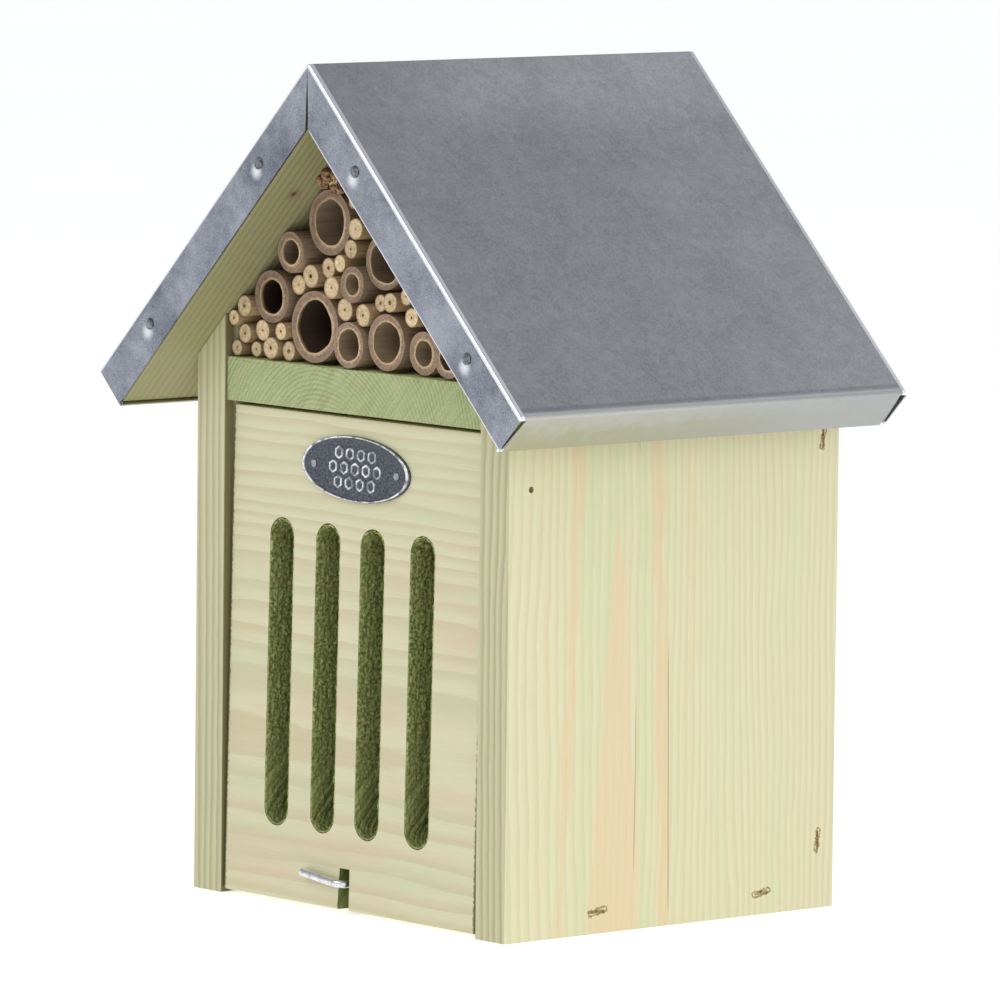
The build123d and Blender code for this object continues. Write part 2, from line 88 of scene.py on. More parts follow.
class Wire:
    """An output socket. Sums, products and powers of wires add Math nodes."""

    def __init__(self, graph, socket):
        self.graph = graph
        self.socket = socket

    def __add__(self, other):
        return self.graph.math("ADD", self, other)

    def __sub__(self, other):
        return self.graph.math("SUBTRACT", self, other)

    def __mul__(self, other):
        return self.graph.math("MULTIPLY", self, other)

    def __truediv__(self, other):
        return self.graph.math("DIVIDE", self, other)

    def __pow__(self, other):
        return self.graph.math("POWER", self, other)

    def __rsub__(self, other):
        return self.graph.math("SUBTRACT", other, self)

    def __rtruediv__(self, other):
        return self.graph.math("DIVIDE", other, self)

    def __neg__(self):
        return self.graph.math("MULTIPLY", self, -1.0)

    __radd__ = __add__
    __rmul__ = __mul__

    def other(self, name):
        """Another output of the same node."""
        return Wire(self.graph, self.socket.node.outputs[name])

    def bounded(self):
        """The value kept between 0 and 1."""
        return self.graph.node("ShaderNodeClamp", {0: self})

    def smooth(self, low, high):
        """0 below low, 1 above high and an even curve between them."""
        bounds = {0: self, 1: low, 2: high, 3: 0.0, 4: 1.0}
        return self.graph.node("ShaderNodeMapRange", bounds, interpolation_type="SMOOTHSTEP")

    def bell(self, middle, reach):
        """1 at the middle, falling to 0 at reach on either side."""
        return 1 - self.graph.math("ABSOLUTE", self - middle).smooth(0.0, reach)


class Graph:
    """A shader or geometry tree."""

    def __init__(self, tree):
        self.tree = tree

    def node(self, kind, sockets=None, output=0, **settings):
        """Adds a node: its settings first, then each socket's value or link. Returns one output."""
        made = self.tree.nodes.new(kind)
        for name, value in settings.items():
            setattr(made, name, value)
        for name, value in (sockets or {}).items():
            socket = next((s for s in made.inputs if s.enabled and s.name == name), None)
            socket = socket or made.inputs[name]
            if isinstance(value, Wire):
                self.tree.links.new(value.socket, socket)
            else:
                socket.default_value = value
        return Wire(self, made.outputs[output]) if len(made.outputs) else made

    def math(self, operation, *values):
        return self.node("ShaderNodeMath", dict(enumerate(values)), operation=operation)

    def vector(self, operation, *values, output=0):
        return self.node("ShaderNodeVectorMath", dict(enumerate(values)), output, operation=operation)

    def dot(self, one, other):
        return self.vector("DOT_PRODUCT", one, other, output="Value")

    def distance(self, one, other):
        return self.vector("DISTANCE", one, other, output="Value")

    def scaled(self, vector, scale):
        return self.node("ShaderNodeVectorMath", {0: vector, "Scale": scale}, operation="SCALE")

    def joined(self, x, y, z):
        return self.node("ShaderNodeCombineXYZ", {0: x, 1: y, 2: z})

    def parts(self, vector):
        """The three numbers of a vector."""
        split = self.node("ShaderNodeSeparateXYZ", {0: vector})
        return split, split.other("Y"), split.other("Z")

    def mix(self, factor, one, other):
        """One colour shading into another."""
        return self.node("ShaderNodeMix", {0: factor, 6: one, 7: other}, 2, data_type="RGBA")

    def noise(self, place, scale=1.0, detail=2.0, roughness=0.5):
        sockets = {"Vector": place, "Scale": scale, "Detail": detail, "Roughness": roughness}
        return self.node("ShaderNodeTexNoise", sockets)


class Finish(Graph):
    """A material with one Principled shader."""

    def __init__(self, name, **constants):
        self.material = bpy.data.materials.new(name)
        self.material.use_nodes = True
        super().__init__(self.material.node_tree)
        self.tree.nodes.clear()
        self.shader = self.tree.nodes.new("ShaderNodeBsdfPrincipled")
        for socket, value in constants.items():
            self.shader.inputs[socket.replace("_", " ")].default_value = value
        output = self.tree.nodes.new("ShaderNodeOutputMaterial")
        self.tree.links.new(self.shader.outputs[0], output.inputs[0])
        self.coordinates = self.node("ShaderNodeTexCoord", output="Object")
        self.place = self.scaled(self.coordinates, 1 / MM)

    def own(self, name):
        """A value kept on the piece's own points or faces."""
        return self.node("ShaderNodeAttribute", None, "Fac", attribute_name=name)

    def feed(self, socket, wire):
        self.tree.links.new(wire.socket, self.shader.inputs[socket])

    def bump(self, height, strength, distance):
        """Raises the surface by height, which runs from 0 to 1, times distance."""
        sockets = {"Height": height, "Strength": strength, "Distance": distance}
        self.feed("Normal", self.node("ShaderNodeBump", sockets))

    def gap_to(self, spot):
        """How far the surface is from a place."""
        return self.distance(self.place, spot)

    def gap_to_line(self, start, line):
        """How far the surface is from a straight line that starts at a place."""
        away = self.vector("SUBTRACT", self.place, start)
        share = (self.dot(away, line) / line.length_squared).bounded()
        return self.distance(away, self.scaled(line, share))


def tone(red, green, blue):
    """A colour from its 0 to 255 display values."""
    linear = [((c / 255 + 0.055) / 1.055) ** 2.4 for c in (red, green, blue)]
    return (*linear, 1.0)


# ----------------------------------------------------------------------
# Reading the CAD shapes


def welded(node):
    """A CAD node's mesh with its shared corners joined."""
    work = bmesh.new()
    work.from_mesh(nodes[node].data)
    bmesh.ops.remove_doubles(work, verts=work.verts, dist=0.002 * MM)
    return work


def islands(node):
    """The lowest and highest corner of each separate solid in a CAD node."""
    work = welded(node)
    found, seen = [], set()
    for start in work.verts:
        if start in seen:
            continue
        group, waiting = [], [start]
        seen.add(start)
        while waiting:
            vert = waiting.pop()
            group.append(vert.co.copy())
            for edge in vert.link_edges:
                other = edge.other_vert(vert)
                if other not in seen:
                    seen.add(other)
                    waiting.append(other)
        low = Vector([min(p[i] for p in group) for i in range(3)])
        high = Vector([max(p[i] for p in group) for i in range(3)])
        found.append((low, high))
    work.free()
    return found


def nail_heads():
    """The outer middles of the roof sheet's nail heads."""
    heads = []
    for low, high in islands("roof_sheet_nails"):
        middle = (low + high) / 2
        middle.y = low.y if middle.y < 0 else high.y
        heads.append(middle)
    return heads


# ----------------------------------------------------------------------
# Wood


class Pine(Finish):
    """Planed pine, tinted green by its treatment. Rings run round a pith line parallel to the grain."""

    def __init__(
        self, name, grain, across, pith, ring, pale, late, green, blush, end, shift=0.0, sway=16.0,
        quiver=2.0, contrast=0.5, greening=0.6, blushing=0.4, edging=0.0, scratching=0.0, end_depth=1.6,
        relief=0.55
    ):
        super().__init__(name, IOR=1.45)
        self.along = self.dot(self.place, grain)
        self.across = self.dot(self.place, across)
        self.through = self.dot(self.place, grain.cross(across))
        self.grain = grain
        self.shift = shift
        end_grain, edge = self.own("end_grain"), self.own("sawn_edge")
        side = self.across - pith[0] + (self.stretched(0.007, 0.02, 2.0) - 0.5) * sway
        deep = self.through - pith[1] + (self.stretched(0.05, 0.09, 3.0) - 0.5) * quiver
        radius = self.math("SQRT", side * side + deep * deep)
        phase = self.math("FRACT", radius / ring + self.stretched(0.004, 0.05, 1.0) * 2.0)
        late_wood = phase.smooth(0.25, 0.86) * (1 - phase.smooth(0.93, 1.0))
        fibre = self.stretched(0.06, 2.0, 3.0)
        pores = self.noise(self.place, 1.7, 3.0, 0.65)
        greened = self.stretched(0.005, 0.09, 2.0).smooth(0.42, 0.72) * greening
        blushed = self.stretched(0.011, 0.07, 2.0, 40.0).smooth(0.5, 0.75) * blushing
        colour = self.mix(late_wood * contrast, pale, late)
        colour = self.mix(greened, colour, green)
        colour = self.mix(blushed, colour, blush)
        colour = self.marked(colour)
        # Faces toward front or back: late-wood stripes, in a tone darkened by painted shade.
        striped_and_shaded = self.mix(late_wood * 0.6, tone(191, 188, 153), tone(150, 141, 100))
        colour = self.mix(edge * edging, colour, striped_and_shaded)
        colour = self.scaled(colour, 0.93 + fibre * 0.14)
        patchy = self.noise(self.place, 0.09, 2.0, 0.6).smooth(0.35, 0.65)
        diagonal = self.joined(self.across * 0.9 + self.through * 0.9, 3.0, self.through * 0.12)
        scratched = self.noise(diagonal, 1.0, 2.0).smooth(0.35, 0.7) * scratching
        rings = late_wood * (0.25 + patchy * 0.35)
        sawn = self.mix(rings + scratched + pores.smooth(0.35, 0.7) * 0.35, end[0], end[1])
        self.feed("Base Color", self.mix(end_grain, colour, sawn))
        self.feed("Roughness", 0.5 + fibre * 0.16 + end_grain * 0.25)
        planed = fibre * 0.45 + late_wood * 0.25
        self.bump(planed * (1 - end_grain) + pores * end_grain * end_depth, relief, 0.35 * MM)

    def stretched(self, along, across, detail, offset=0.0):
        """Noise drawn out along the grain; along and across are cycles per millimetre."""
        place = self.joined(
            self.along * along + self.shift + offset, self.across * across, self.through * across
        )
        return self.noise(place, 1.0, detail, 0.6)

    def marked(self, colour):
        """Extra marks that one board has. Plain boards have none."""
        return colour

    def stapled(self, colour, side):
        """Ragged brown marks round the staples of the side where x has this sign: a pale halo, and a brown ring
        that is torn-fibre stain and the dent's painted shadow.
        """
        rough = (self.noise(self.place, 0.9, 3.0, 0.7) - 0.5) * 2.6
        for low, high in islands("side_staples"):
            if high.x * side < 0:
                continue
            start = Vector((side * panel_high.x, low.y, low.z)) / MM
            line = Vector((0, high.y - low.y, high.z - low.z)) / MM
            gap = self.gap_to_line(start, line) + rough
            colour = self.mix((1 - gap.smooth(0.9, 2.2)) * 0.35, colour, tone(240, 224, 176))
            # A brown ring: torn-fibre stain, and the painted shadow of the staple's dent.
            colour = self.mix(gap.bell(0.75, 0.6) * 0.9, colour, tone(122, 92, 44))
        return colour


class StapledPine(Pine):
    """The left side board: marks round its staples, and painted shade on its inner face beside the door."""

    def marked(self, colour):
        x, y, _ = self.parts(self.place)
        # Painted shade: a dark olive tone on the inner face near the front edge, inside the door's reveal.
        inner = x.smooth(left_high.x / MM - 0.5, left_high.x / MM - 0.2)
        painted_shade_beside_door = inner * (1 - y.smooth(left_low.y / MM + 3.0, left_low.y / MM + 5.0))
        colour = self.mix(painted_shade_beside_door * 0.95, colour, tone(108, 101, 62))
        return self.stapled(colour, -1)


class FlamedPine(Pine):
    """The right side board: pink resin bands, a flame between them and three dark shakes."""

    front = panel_low.y / MM
    # Distances back from the front edge, and heights. A band's middle is given at the foot and at the top.
    top = 180.0
    bands = ((22.0, 30.5, 2.3, 0.85), (66.5, 61.0, 2.8, 0.9), (14.0, 16.0, 1.2, 0.25), (75.5, 75.0, 1.4, 0.4))
    green_bands = ((31.0, 36.0, 3.2), (58.0, 55.0, 3.0), (40.0, 46.0, 4.0))
    flame_middle = 45.5
    flame_top = 138.0
    # A shake's start, drift per millimetre of height, lowest and highest point, and reach to either side
    shakes = (
        (53.6, 0.0, 18.0, 76.0, 0.28),
        (68.4, -0.017, 2.0, 92.0, 0.36),
        (61.6, -0.05, 150.0, 163.0, 0.3),
    )

    def marked(self, colour):
        back, height = self.across - self.front, self.along
        wander = (self.stretched(0.016, 0.05, 2.0, 9.0) - 0.5) * 5.0
        ragged = (self.stretched(0.03, 0.6, 2.0, 5.0) - 0.5) * 2.4
        ragged = ragged + (self.stretched(0.05, 0.16, 1.0, 7.0) - 0.5) * 7.0
        for low, high, reach in self.green_bands:
            middle = low + (high - low) / self.top * height
            band = (back + wander - middle).bell(0.0, reach * 1.6)
            colour = self.mix(band * 0.38, colour, tone(203, 213, 168))
        for low, high, reach, strength in self.bands:
            middle = low + (high - low) / self.top * height
            band = (back + wander * 0.6 + ragged - middle).bell(0.0, reach * 1.5)
            colour = self.mix(band * strength * 0.85, colour, tone(226, 201, 160))
        fallen = self.flame_top - height
        reach = fallen.smooth(0.0, 150.0) * 9.0 + fallen.smooth(0.0, 20.0) * 2.6
        inside = reach - self.math("ABSOLUTE", back + ragged * 0.8 - self.flame_middle)
        colour = self.mix(inside.smooth(-0.8, 2.4) * 0.8, colour, tone(227, 204, 164))
        for start, drift, low, high, reach in self.shakes:
            line = (back + wander * 0.12 - start - drift * height).bell(0.0, reach)
            stretch = height.smooth(low - 3.0, low + 9.0) * (1 - height.smooth(high - 14.0, high + 3.0))
            colour = self.mix(line * stretch * 0.75, colour, tone(138, 108, 66))
        return self.stapled(colour, 1)


class KnottyPine(Pine):
    """The left roof board: a small knot near the front."""

    knot = Vector((-22.0, -68.0, 227.9))

    def marked(self, colour):
        gap = self.gap_to(self.knot)
        colour = self.mix((1 - gap.smooth(1.0, 4.0)) * 0.45, colour, tone(134, 108, 74))
        return self.mix((1 - gap.smooth(0.4, 1.7)) * 0.9, colour, tone(58, 40, 28))


class DoorPine(Pine):
    """The door: its sawn ends are ragged and soaked dark."""

    def marked(self, colour):
        x = self.parts(self.place)[0]
        ragged = (self.noise(self.place, 0.8, 3.0, 0.7) - 0.5) * 2.0
        inside = door_high.x / MM - self.math("ABSOLUTE", x) + ragged
        return self.mix((1 - inside.smooth(0.5, 1.0)) * 0.9, colour, tone(90, 98, 48))


side_tones = dict(
    pale=tone(221, 217, 180),
    late=tone(208, 199, 156),
    green=tone(208, 216, 174),
    blush=tone(224, 208, 174),
    end=(tone(176, 182, 128), tone(120, 130, 78)),
)
front_tones = dict(
    pale=tone(209, 205, 172),
    late=tone(190, 172, 136),
    green=tone(194, 200, 162),
    blush=tone(210, 187, 158),
    end=(tone(126, 136, 74), tone(72, 84, 36)),
)
# Tones darkened as painted shade, for the roof boards and the floor board.
painted_shade_tones = dict(
    pale=tone(164, 160, 119),
    late=tone(134, 127, 88),
    green=tone(148, 155, 108),
    blush=tone(166, 152, 116),
    end=(tone(150, 160, 96), tone(100, 112, 58)),
)
shelf_tones = dict(
    pale=tone(200, 206, 150),
    late=tone(170, 180, 116),
    green=tone(186, 202, 132),
    blush=tone(204, 202, 150),
    end=(tone(186, 195, 146), tone(150, 161, 110)),
)


def make_woods():
    """One finish for each board, so that no two share their rings."""
    return {
        "right_side_panel": FlamedPine(
            "pine_right_side", up, north, (-150.0, 30.0), 2.5, shift=2.0, sway=10.0, greening=0.35,
            blushing=0.25, edging=0.9, **side_tones
        ),
        "left_side_panel": StapledPine(
            "pine_left_side", up, north, (-90.0, -40.0), 3.4, shift=11.0, contrast=0.6, edging=0.9,
            **side_tones
        ),
        "front_door": DoorPine(
            "pine_door", east, up, (56.0, 112.0), 3.9, shift=23.0, sway=9.0, quiver=0.9, contrast=0.45,
            greening=0.45, blushing=0.6, **front_tones
        ),
        "shelf_board": Pine(
            "pine_shelf", north, east, (-16.0, -138.0), 1.5, shift=31.0, sway=3.0, quiver=1.2, end_depth=2.2,
            relief=0.8, scratching=0.4, **shelf_tones
        ),
        "left_roof_board": KnottyPine(
            "pine_left_roof", -up_slope.reflect(east), north, (40.0, 60.0), 1.7, shift=43.0, sway=1.5,
            quiver=0.3, contrast=0.7, **painted_shade_tones
        ),
        "right_roof_board": Pine(
            "pine_right_roof", up_slope, north, (-30.0, -70.0), 3.6, shift=53.0, contrast=0.7, **painted_shade_tones
        ),
        "back_panel": Pine("pine_back", up, east, (30.0, 160.0), 5.5, shift=61.0, sway=20.0, **side_tones),
        "floor_board": Pine(
            "pine_floor", east, north, (20.0, -60.0), 4.0, shift=71.0, contrast=0.6, **painted_shade_tones
        ),
    }


class SlotGrain(Finish):
    """The torn end grain of the slots, soaked dark green."""

    def __init__(self):
        super().__init__("pine_slot_end_grain", IOR=1.45)
        x, depth, height = self.parts(self.place)
        pits = self.noise(self.place, 0.95, 3.0, 0.7)
        ribs = self.noise(self.joined(depth * 1.2, height * 0.16, x * 0.2), 1.0, 2.0, 0.6)
        rings = self.noise(self.joined(3.0, 5.0, height * 0.09), 1.0, 2.0)
        colour = self.mix(pits.smooth(0.4, 0.62), tone(84, 94, 44), tone(172, 180, 116))
        colour = self.mix(ribs.smooth(0.35, 0.65) * 0.45, colour, tone(120, 134, 62))
        colour = self.mix(rings.smooth(0.5, 0.66) * 0.22, colour, tone(150, 128, 84))
        foot = 1 - (height - openings["door_slot_1"][0][2] / MM).smooth(*slanted_foot)
        slanted = self.noise(self.joined((height * 0.9 - depth) * 1.1, height * 0.04, 4.0), 1.0, 2.0, 0.5)
        tears = self.mix(slanted.smooth(0.38, 0.6), tone(62, 72, 30), tone(156, 164, 98))
        colour = self.mix(foot * 0.65, colour, tears)
        crumbs = self.noise(self.place, 2.1, 2.0, 0.6)
        self.feed("Base Color", self.mix(crumbs.smooth(0.62, 0.72) * 0.8, colour, tone(196, 204, 142)))
        self.feed("Roughness", 0.78 + pits * 0.2)
        self.bump(pits * 0.7 + ribs * 0.5, 0.8, 0.5 * MM)


# ----------------------------------------------------------------------
# Metal


class Galvanised(Finish):
    """Hot-dipped sheet: mottled grey with fine specks."""

    def __init__(self, name, dull, bright, rough):
        super().__init__(name, Metallic=1.0)
        cloud = self.noise(self.place, 0.045, 4.0, 0.6)
        speck = self.noise(self.place, 1.1, 3.0, 0.7)
        cells = {"Vector": self.place, "Scale": 0.34, "Smoothness": 0.4}
        spangle = self.node("ShaderNodeTexVoronoi", cells, "Color", feature="SMOOTH_F1")
        grain = self.dot(spangle, (0.33, 0.33, 0.33))
        shade = cloud * 0.26 + speck * 0.6 + grain * 0.14
        self.shade = self.mix(shade.smooth(0.25, 0.75), dull, bright)
        self.rough = rough + speck * 0.12 + cloud * 0.05
        self.height = speck * 0.3 + grain * 0.12 + self.noise(self.place, 0.02, 2.0) * 2.0
        self.detail()
        self.feed("Roughness", self.rough)
        self.feed("Base Color", self.shade)
        self.bump(self.height, 0.22, 0.25 * MM)

    def detail(self):
        """Marks on this sheet only."""


class RoofSheet(Galvanised):
    """The roof: speckled flanges with painted shade, a painted warm reflection in the eave flange, painted
    highlights on the folds and beside the nails, a painted sheen, dents and two scratches.
    """

    dent_reach = 5.5
    flange_depth = 14.5
    # Each scratch runs between two places: how far down the slope, and how far along the ridge
    scratches = (((87.6, 27.6), (91.5, 31.1)), ((95.4, 34.6), (102.0, 40.4)))

    def detail(self):
        x, y, z = self.parts(self.place)
        out, end = self.math("ABSOLUTE", x), self.math("ABSOLUTE", y)
        fallen = z - ridge_point.z
        over = out * off_slope.x + fallen * off_slope.z
        along = out * up_slope.x + fallen * up_slope.z
        half_depth = roof_high.y / MM
        flange = end.smooth(half_depth - 2.6, half_depth - 1.4)
        fine = self.noise(self.place, 1.7, 3.0, 0.8)
        patches = self.noise(self.place, 0.22, 3.0, 0.6)
        rolled = self.noise(self.vector("MULTIPLY", self.place, (0.16, 0.012, 0.16)), 1.0, 3.0, 0.6)
        self.paint_slope_streaks_and_light(y, along, rolled)
        self.paint_eave_reflection(y, along, over, fine, rolled + patches)
        # The flanges: the sheet's own mottle, in a darker tone that is painted shade.
        broad = self.noise(self.place, 0.045, 2.0, 0.5)
        mottle = (fine * 0.45 + patches * 0.2 + broad * 0.35).smooth(0.32, 0.66)
        spotted_and_shaded = self.mix(mottle, tone(98, 103, 114), tone(172, 177, 187))
        self.shade = self.mix(flange, self.shade, spotted_and_shaded)
        self.dent_nails()
        # Painted highlights: a near-white line along the front and back folds, and along the lower cut edge of the
        # right-hand flanges.
        fold = (over + 1.0).smooth(0.0, 0.5) * end.smooth(half_depth - 2.3, half_depth - 1.8)
        cut = (1 - (over + self.flange_depth).smooth(0.35, 0.8)) * flange * x.smooth(0.5, 2.0)
        self.shade = self.mix((fold + cut).bounded(), self.shade, tone(246, 248, 252))
        self.rough = self.rough - fold * 0.16
        for start, finish in self.scratches:
            begin = self.scratch_place(start)
            gap = self.gap_to_line(begin, self.scratch_place(finish) - begin)
            clean = (gap + (self.noise(self.place, 0.6, 2.0) - 0.5) * 0.3).smooth(0.12, 0.34)
            self.shade = self.mix(clean, tone(244, 246, 250), self.shade)

    def paint_slope_streaks_and_light(self, y, along, rolled):
        """Rolling streaks, a painted sheen near the ridge and toward the back, and painted shade along a crease
        above the eave fold.
        """
        # Painted sheen: the slope is lighter near the ridge and toward the back.
        near_ridge = (1 - along.smooth(12.0, 38.0)) * y.smooth(-75.0, -20.0)
        painted_sheen = near_ridge * 0.24 + y.smooth(-20.0, 70.0) * 0.1
        self.shade = self.scaled(self.shade, 0.88 + rolled * 0.12 + painted_sheen)
        # Painted shade: a darker line along a crease just above the eave fold.
        crease = along.bell(self.slope_length() - 3.0, 1.3) * 0.3
        self.shade = self.mix(crease, self.shade, tone(96, 99, 106))

    def paint_eave_reflection(self, y, along, over, fine, uneven):
        """Painted reflection: the eave flange is tinted warm like the boards below it, greyer toward the back. A
        painted highlight runs along its fold.
        """
        depth_in = over * 0.1 + 1.05 + (uneven - 1.0) * 1.6
        # Painted reflection: a warm tint, greyer toward the back.
        painted_reflection = self.mix(depth_in.smooth(0.0, 0.9), tone(184, 181, 148), tone(196, 196, 188))
        painted_reflection = self.mix(y.smooth(-75.0, 75.0) * 0.9, painted_reflection, tone(174, 176, 174))
        eave = along.smooth(self.slope_length() - 1.4, self.slope_length() - 0.7)
        self.shade = self.mix(eave * (0.6 + fine * 0.4), self.shade, painted_reflection)
        # Painted highlight along the eave fold.
        brightened = along.bell(self.slope_length() - 1.3, 0.9) * (over + 1.0).smooth(0.0, 0.5) * 0.55
        self.shade = self.mix(brightened, self.shade, tone(222, 224, 228))

    def dent_nails(self):
        """A dent round each nail, with a painted highlight beside its head."""
        for middle in nail_heads():
            spot = middle / MM
            # A painted highlight below and to one side of each nail head.
            highlight_spot = spot - Vector((1.0, 0, 2.6))
            dent = 1 - self.gap_to(spot).smooth(0.5, self.dent_reach)
            painted_highlight = 1 - self.gap_to(highlight_spot).smooth(0.4, 3.8)
            self.height = self.height - dent * 2.6
            self.shade = self.mix(painted_highlight * 0.85, self.shade, tone(248, 250, 255))

    def slope_length(self):
        """From the ridge down the slope to the eave fold."""
        return roof_high.x / MM / up_slope.x

    def scratch_place(self, spot):
        """A place on the right slope from how far it is down the slope and along the ridge."""
        return ridge_point + up_slope * spot[0] + north * spot[1]


class BrightWire(Finish):
    """Bright zinc with dull specks."""

    def __init__(self, name, dull, bright, rough, relief=0.2):
        super().__init__(name, Metallic=1.0)
        speck = self.noise(self.place, 1.6, 3.0, 0.7)
        cloud = self.noise(self.place, 0.4, 2.0, 0.5)
        self.feed("Base Color", self.mix((speck * 0.4 + cloud * 0.6).smooth(0.32, 0.66), dull, bright))
        self.feed("Roughness", rough + speck * relief)
        self.bump(speck, relief, 0.04 * MM)


class PressedPlate(Finish):
    """The oval plate: rim and relief painted bright as a highlight over a darker, pitted ground."""

    def __init__(self):
        super().__init__("plate_pressed_zinc", Metallic=1.0)
        raised = self.own("raised")
        speck = self.noise(self.place, 1.4, 4.0, 0.75)
        ground = self.mix(speck.smooth(0.35, 0.7), tone(66, 69, 76), tone(112, 116, 124))
        blotch = self.noise(self.place, 0.3, 2.0, 0.6)
        # Painted highlight: the raised rim and relief are brighter than the ground.
        brightened = self.mix(blotch.smooth(0.35, 0.62), tone(136, 140, 148), tone(246, 248, 252))
        self.feed("Base Color", self.mix(raised.smooth(0.3, 1.0), ground, brightened))
        self.feed("Roughness", 0.34 - raised * 0.16 + speck * 0.14)
        self.bump(speck, 0.35, 0.2 * MM)


# ----------------------------------------------------------------------
# Geometry trees


def new_tree(name, sizes):
    """An empty geometry tree with named inputs. Returns its graph, its base shape and its inputs by name."""
    tree = bpy.data.node_groups.new(name, "GeometryNodeTree")
    tree.interface.new_socket("Geometry", in_out="INPUT", socket_type="NodeSocketGeometry")
    tree.interface.new_socket("Geometry", in_out="OUTPUT", socket_type="NodeSocketGeometry")
    for size in sizes:
        tree.interface.new_socket(size, in_out="INPUT", socket_type="NodeSocketFloat")
    g = Graph(tree)
    given = g.node("NodeGroupInput")
    return g, given, {size: given.other(size) for size in sizes}


def unrolled(g, sides, stations, steps):
    """A grid to wrap round an axis: its mesh, the angle round the axis and the station along it."""
    counts = {"Vertices X": sides + 1, "Vertices Y": stations * steps + 1}
    grid = g.node("GeometryNodeMeshGrid", {"Size X": 1.0, "Size Y": 1.0, **counts})
    x, y, _ = g.parts(g.node("GeometryNodeInputPosition"))
    return grid, (x + 0.5) * (2 * math.pi), (y + 0.5) * stations


def stored(g, shape, name, value):
    """Keeps a value on the points under a name that the finish reads."""
    sockets = {"Geometry": shape, "Name": name, "Value": value}
    return g.node("GeometryNodeStoreNamedAttribute", sockets, data_type="FLOAT", domain="POINT")


def finish_tree(g, shape, material):
    """Ends a geometry tree: real copies, one material, output. Returns the tree."""
    shape = g.node("GeometryNodeRealizeInstances", {0: shape})
    shape = g.node("GeometryNodeSetMaterial", {"Geometry": shape, "Material": material})
    g.node("NodeGroupOutput", {0: shape})
    return g.tree


# ----------------------------------------------------------------------
# Canes


class CaneFinish(Finish):
    """Cut bamboo or reed, coloured by where the surface is along the cane's own profile."""

    def __init__(self, name, skin, bark, ring, rim, dark, light, fibre_scale):
        super().__init__(name, IOR=1.45)
        station = self.own("station")
        tint = self.own("tint")
        inside = self.own("inside")
        pores = self.noise(self.place, fibre_scale, 3.0, 0.7)
        blotch = self.noise(self.place, 0.35, 2.0, 0.6)
        across = (station - 2.0).bounded()
        streak = self.noise(self.vector("MULTIPLY", self.place, (1.2, 0.05, 1.2)), 1.0, 3.0, 0.6)
        side = self.mix(streak.smooth(0.3, 0.7), skin[0], skin[1])
        face = self.mix(pores.smooth(0.3, 0.7), ring[0], ring[1])
        face = self.mix(blotch.smooth(0.35, 0.7) * 0.5, face, ring[1])
        face = self.mix(across.smooth(0.0, 0.3), bark, face)
        face = self.mix((across + (pores - 0.5) * 0.5).smooth(0.62, 0.98) * 0.85, face, rim)
        colour = self.mix(station.smooth(1.96, 2.02), side, face)
        colour = self.scaled(colour, 0.8 + tint * 0.4)
        # The bore wall: its own light tone shading into near-black painted shade as the inside value falls.
        wall = self.mix(inside, dark, light)
        wall = self.mix(streak.smooth(0.35, 0.7) * 0.5, wall, self.scaled(wall, 0.55))
        colour = self.mix(station.smooth(2.995, 3.015), colour, wall)
        self.feed("Base Color", colour)
        self.feed("Roughness", 0.5 + pores * 0.3)
        self.bump(pores * 0.6 + streak * 0.4, 0.6, 0.3 * MM)


def make_cane_finishes():
    bamboo = CaneFinish(
        "bamboo_thick",
        # The bamboo's skin, with its tones darkened in part as painted shade on the canes' sides.
        skin=(tone(104, 86, 68), tone(156, 134, 106)),
        bark=tone(150, 128, 110),
        ring=(tone(108, 86, 72), tone(160, 134, 110)),
        rim=tone(206, 180, 142),
        dark=tone(44, 24, 16),
        light=tone(180, 158, 128),
        fibre_scale=1.2,
    )
    reed = CaneFinish(
        "reed_thin",
        skin=(tone(146, 120, 84), tone(200, 174, 130)),
        bark=tone(168, 140, 106),
        ring=(tone(176, 150, 112), tone(226, 206, 168)),
        rim=tone(206, 176, 132),
        dark=tone(96, 66, 42),
        light=tone(196, 168, 126),
        fibre_scale=1.4,
    )
    return bamboo, reed


